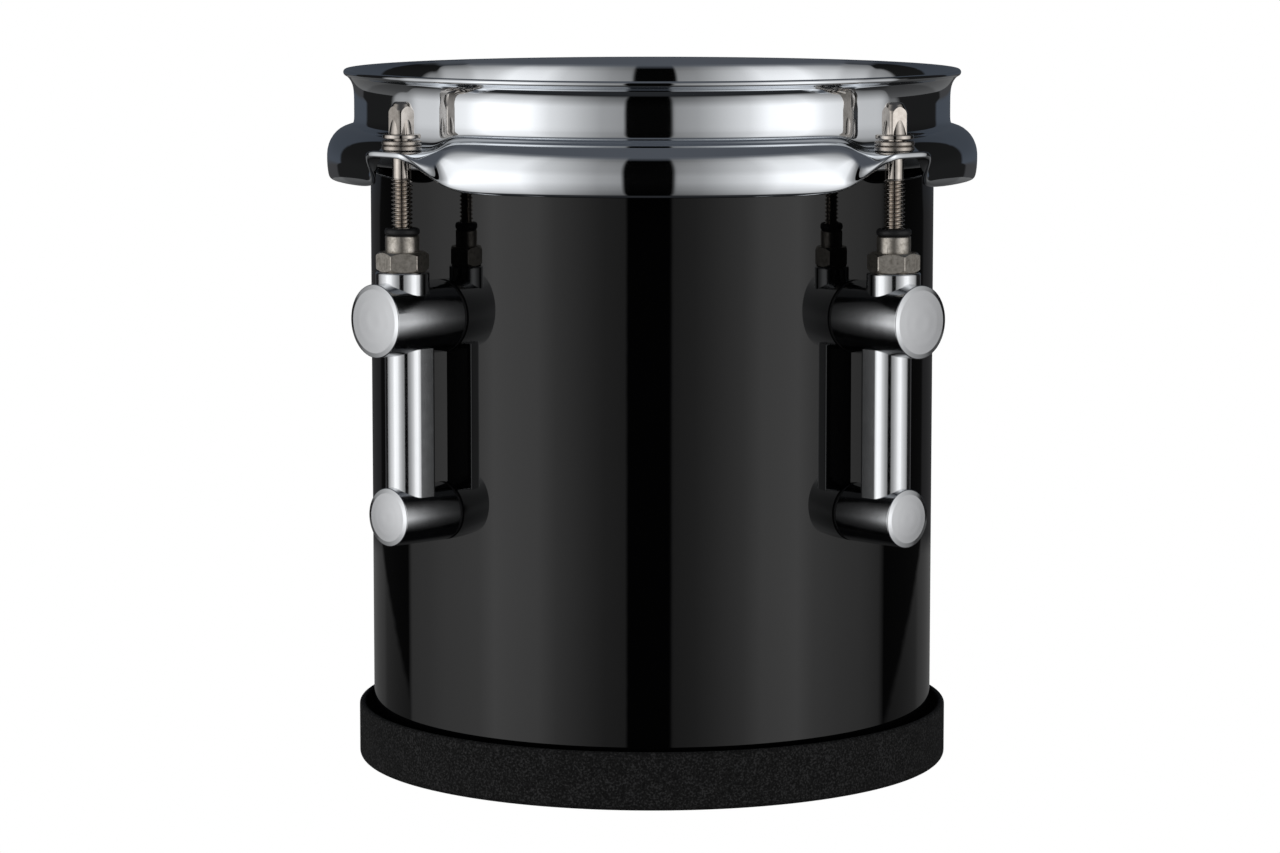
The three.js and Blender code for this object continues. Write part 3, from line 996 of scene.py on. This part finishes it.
def make_stations():
    rod, nut, o_ring, lug = rod_skin(), nut_skin(), o_ring_skin(), lug_skin()
    lower_washer = washer_skin(EAR_TOP + 0.08, 170.5)
    upper_washer = washer_skin(170.54, 171.75)
    by_level = {}
    for level in LEVELS:
        by_level[level] = gasket_skin(level), screw_skin(level), screw_washer_skin(level)
    steel, seal = (SCREW_STEEL,), (RUBBER,)
    hoop, body = "tension_hoop", "drum_body"
    for n, angle in STATIONS.items():
        turn = KEY_TURNS[n]
        add_piece(f"tension_rod_{n}", on_rod(rod), (ROD_STEEL,), f"rod_{n}", angle, turn)
        for name, washer in (("lower", lower_washer), ("upper", upper_washer)):
            add_piece(f"{name}_washer_{n}", on_rod(washer), (WASHER_STEEL,), hoop, angle)
        add_piece(f"receiver_nut_{n}", on_rod(nut), (NUT_STEEL,), body, angle, NUT_TURNS[n])
        add_piece(f"o_ring_{n}", on_rod(o_ring), seal, body, angle)
        add_piece(f"lug_{n}", lug, (CAST_CHROME, SATIN), body, angle)
        for level, (gasket, screw, washer) in by_level.items():
            add_piece(f"{level}_gasket_{n}", gasket, seal, body, angle)
            add_piece(f"{level}_lug_screw_{n}", screw, steel, body, angle)
            add_piece(f"{level}_screw_washer_{n}", washer, steel, body, angle)


# ---------------------------------------------------------------- studio
def make_floor():
    """A pale floor that shows from above and neither shades the drum nor shows in its chrome."""
    reach, gap = 30, 0.0004  # metres
    corners = [(-reach, -reach, 0), (reach, -reach, 0), (reach, reach, 0), (-reach, reach, 0)]
    mesh = bpy.data.meshes.new("floor")
    mesh.from_pydata(corners, [], [(0, 1, 2, 3)])
    floor = bpy.data.objects.new("floor", mesh)
    bpy.context.scene.collection.objects.link(floor)
    floor.location.z = -gap
    paint = bpy.data.materials.new("pale_floor")
    paint.use_nodes = True
    nodes, links = paint.node_tree.nodes, paint.node_tree.links
    nodes.remove(nodes["Principled BSDF"])
    glow = nodes.new("ShaderNodeEmission")
    clear = nodes.new("ShaderNodeBsdfTransparent")
    side = nodes.new("ShaderNodeNewGeometry")
    mix = nodes.new("ShaderNodeMixShader")
    links.new(side.outputs["Backfacing"], mix.inputs["Fac"])
    links.new(glow.outputs["Emission"], mix.inputs[1])
    links.new(clear.outputs["BSDF"], mix.inputs[2])
    links.new(mix.outputs["Shader"], nodes["Material Output"].inputs["Surface"])
    mesh.materials.append(paint)
    floor.visible_diffuse = False
    floor.visible_glossy = False
    floor.visible_shadow = False


# What stands round the drum: two big soft boxes with a dark gap between them at the camera, and dark
# screens beyond. Each stop is (degrees from the camera's side, brightness or colour).
SCREEN = 0.012
DUSK = {"low": (0.050, 0.050, 0.052), "high": (0.060, 0.070, 0.086)}
DUSK_START = {"low": 145.5, "high": 140.5}
DUSK_HEIGHT = -4.2
DUSK_EDGE = 0.4  # share of the dusk gained with each degree past its start
LEFT_LIGHT = [
    (0, 0.0015),
    (8.6, 0.0015),
    (9.8, 0.29),
    (18, 0.34),
    (25, 0.48),
    (38, 0.78),
    (46, 1.15),
    (66, 1.3),
    (74, 0.95),
    (92, 0.68),
    (103, 0.46),
    (115, 0.3),
    (118, SCREEN),
    (180, SCREEN),
]
RIGHT_LIGHT = [
    (0, 0.0015),
    (8.2, 0.0015),
    (9.4, 0.27),
    (18, 0.34),
    (25, 0.47),
    (38, 0.75),
    (46, 1.1),
    (62, 1.25),
    (70, 0.9),
    (82, 0.68),
    (95, 0.5),
    (107, 0.27),
    (111, SCREEN),
    (180, SCREEN),
]
# How bright the same things are at each height: (degrees above the horizon, share).
RISE = [
    (-46, 0),
    (-36, 0.4),
    (-22, 0.6),
    (-14, 0.82),
    (-9, 1.03),
    (-3, 1.05),
    (2, 0.92),
    (6, 0.86),
    (20, 0.82),
    (32, 0.72),
    (41, 0.5),
    (49, 0.08),
    (55, 0),
]
CEILING = (0.078, 0.085, 0.098)
BELOW = (0.02, 0.021, 0.023)
OVERHEAD = [(-50, BELOW), (-40, (0, 0, 0)), (38, (0, 0, 0)), (50, CEILING)]
# A table behind and beside the drum, below a line that falls towards the camera's side (degrees).
TABLE = [(100, 0.1), (140, 0.1), (144, 0.14), (180, 0.14)]
TABLE_NEAR_END = 100
TABLE_LINE = {"height": -8.4, "bend": 147, "fall": 0.067}
TABLE_EDGE = 4.0  # share of the table gained with each degree below its line


class Sky:
    """The world's node tree, with short calls for its nodes."""

    def __init__(self, tree):
        self.tree = tree

    def node(self, kind, **settings):
        made = self.tree.nodes.new(kind)
        for key, value in settings.items():
            setattr(made, key, value)
        return made

    def feed(self, socket, value):
        if hasattr(value, "is_linked"):
            self.tree.links.new(value, socket)
        else:
            socket.default_value = value

    def maths(self, operation, *values):
        made = self.node("ShaderNodeMath", operation=operation)
        for socket, value in zip(made.inputs, values):
            self.feed(socket, value)
        return made.outputs["Value"]

    def colour(self, operation, first, second, share=1.0):
        made = self.node("ShaderNodeMixRGB", blend_type=operation)
        for socket, value in zip(made.inputs, (share, first, second)):
            self.feed(socket, value)
        return made.outputs["Color"]

    def ramp(self, value, stops, start, end):
        """A ramp over degrees. It holds brightness only up to 1, so it holds half of each stop."""
        made = self.node("ShaderNodeValToRGB")
        elements = made.color_ramp.elements
        while len(elements) < len(stops):
            elements.new(0.5)
        for element, (degrees, tone) in zip(elements, stops):
            element.position = (degrees - start) / (end - start)
            red, green, blue = tone if isinstance(tone, tuple) else (tone,) * 3
            element.color = (red / 2, green / 2, blue / 2, 1)
        share = self.maths("DIVIDE", self.maths("SUBTRACT", value, start), end - start)
        self.feed(made.inputs["Fac"], share)
        return made.outputs["Color"]


def soft_boxes(sky, degrees, off_camera):
    left, right = (sky.ramp(off_camera, stops, 0, 180) for stops in (LEFT_LIGHT, RIGHT_LIGHT))
    return sky.colour("MIX", left, right, sky.maths("GREATER_THAN", degrees, 0.0))


def with_dusk(sky, around, off_camera, height):
    """The screens fade to a dim blue-grey beyond a bearing that differs a little with height."""
    high = sky.maths("SUBTRACT", height, DUSK_HEIGHT)
    high.node.use_clamp = True
    start = sky.maths("MULTIPLY_ADD", high, DUSK_START["high"] - DUSK_START["low"], DUSK_START["low"])
    in_dusk = sky.maths("MULTIPLY", sky.maths("SUBTRACT", off_camera, start), DUSK_EDGE)
    in_dusk.node.use_clamp = True
    low_tone, high_tone = ((*(part / 2 for part in DUSK[level]), 1) for level in ("low", "high"))
    return sky.colour("MIX", around, sky.colour("MIX", low_tone, high_tone, high), in_dusk)


def with_table(sky, around, off_camera, height):
    short_of_bend = sky.maths("MAXIMUM", sky.maths("SUBTRACT", TABLE_LINE["bend"], off_camera), 0.0)
    drop = sky.maths("MULTIPLY", short_of_bend, TABLE_LINE["fall"])
    line = sky.maths("SUBTRACT", TABLE_LINE["height"], drop)
    under = sky.maths("MULTIPLY", sky.maths("SUBTRACT", line, height), TABLE_EDGE)
    under.node.use_clamp = True
    on_table = sky.maths("MULTIPLY", under, sky.maths("GREATER_THAN", off_camera, TABLE_NEAR_END))
    lightened = sky.colour("LIGHTEN", around, sky.ramp(off_camera, TABLE, 0, 180))
    return sky.colour("MIX", around, lightened, on_table)


def make_world():
    """Studio light by direction, white to the camera."""
    world = bpy.data.worlds.new("studio")
    bpy.context.scene.world = world
    world.use_nodes = True
    world.node_tree.nodes.clear()
    sky = Sky(world.node_tree)
    parts = sky.node("ShaderNodeSeparateXYZ")
    sky.feed(parts.inputs["Vector"], sky.node("ShaderNodeTexCoord").outputs["Generated"])
    across, ahead, rise = parts.outputs
    bearing = sky.maths("ARCTAN2", across, sky.maths("MULTIPLY", ahead, -1.0))
    degrees = sky.maths("MULTIPLY", bearing, 180 / math.pi)
    off_camera = sky.maths("ABSOLUTE", degrees)
    height = sky.maths("MULTIPLY", sky.maths("ARCSINE", rise), 180 / math.pi)
    around = soft_boxes(sky, degrees, off_camera)
    around = with_dusk(sky, around, off_camera, height)
    around = with_table(sky, around, off_camera, height)
    lit = sky.colour("MULTIPLY", around, sky.ramp(height, RISE, -90, 90))
    # both ramps hold halves, so their product is doubled before the halves of the rest are added to it
    lit = sky.colour("ADD", lit, lit)
    total = sky.colour("ADD", lit, sky.ramp(height, OVERHEAD, -90, 90))
    light = sky.node("ShaderNodeBackground")
    light.inputs["Strength"].default_value = 2
    sky.feed(light.inputs["Color"], total)
    white = sky.node("ShaderNodeBackground")
    white.inputs["Color"].default_value = (1, 1, 1, 1)
    choice = sky.node("ShaderNodeMixShader")
    sky.feed(choice.inputs["Fac"], sky.node("ShaderNodeLightPath").outputs["Is Camera Ray"])
    sky.feed(choice.inputs[1], light.outputs["Background"])
    sky.feed(choice.inputs[2], white.outputs["Background"])
    sky.feed(sky.node("ShaderNodeOutputWorld").inputs["Surface"], choice.outputs["Shader"])


# The camera: its place round the drum in degrees, its distance and height in metres, how far it looks down,
# and how far left of the axis it points.
CAMERA = {"around": 1, "distance": 1.182, "height": 0.2353, "down": 7.003, "left": 0.159, "lens": 122.64}


def make_camera():
    data = bpy.data.cameras.new("camera")
    data.sensor_width = 36
    data.lens = CAMERA["lens"]
    camera = bpy.data.objects.new("camera", data)
    bpy.context.scene.collection.objects.link(camera)
    around, distance = math.radians(CAMERA["around"]), CAMERA["distance"]
    camera.location = (distance * math.sin(around), -distance * math.cos(around), CAMERA["height"])
    turn = around + math.radians(CAMERA["left"])
    camera.rotation_euler = (math.radians(90 - CAMERA["down"]), 0, turn)
    bpy.context.scene.camera = camera


bpy.context.scene.view_settings.view_transform = "Standard"
make_camera()
make_world()
make_floor()
make_shell()
make_film()
make_flesh_hoop()
make_counter_hoop()
make_base_ring()
make_stations()
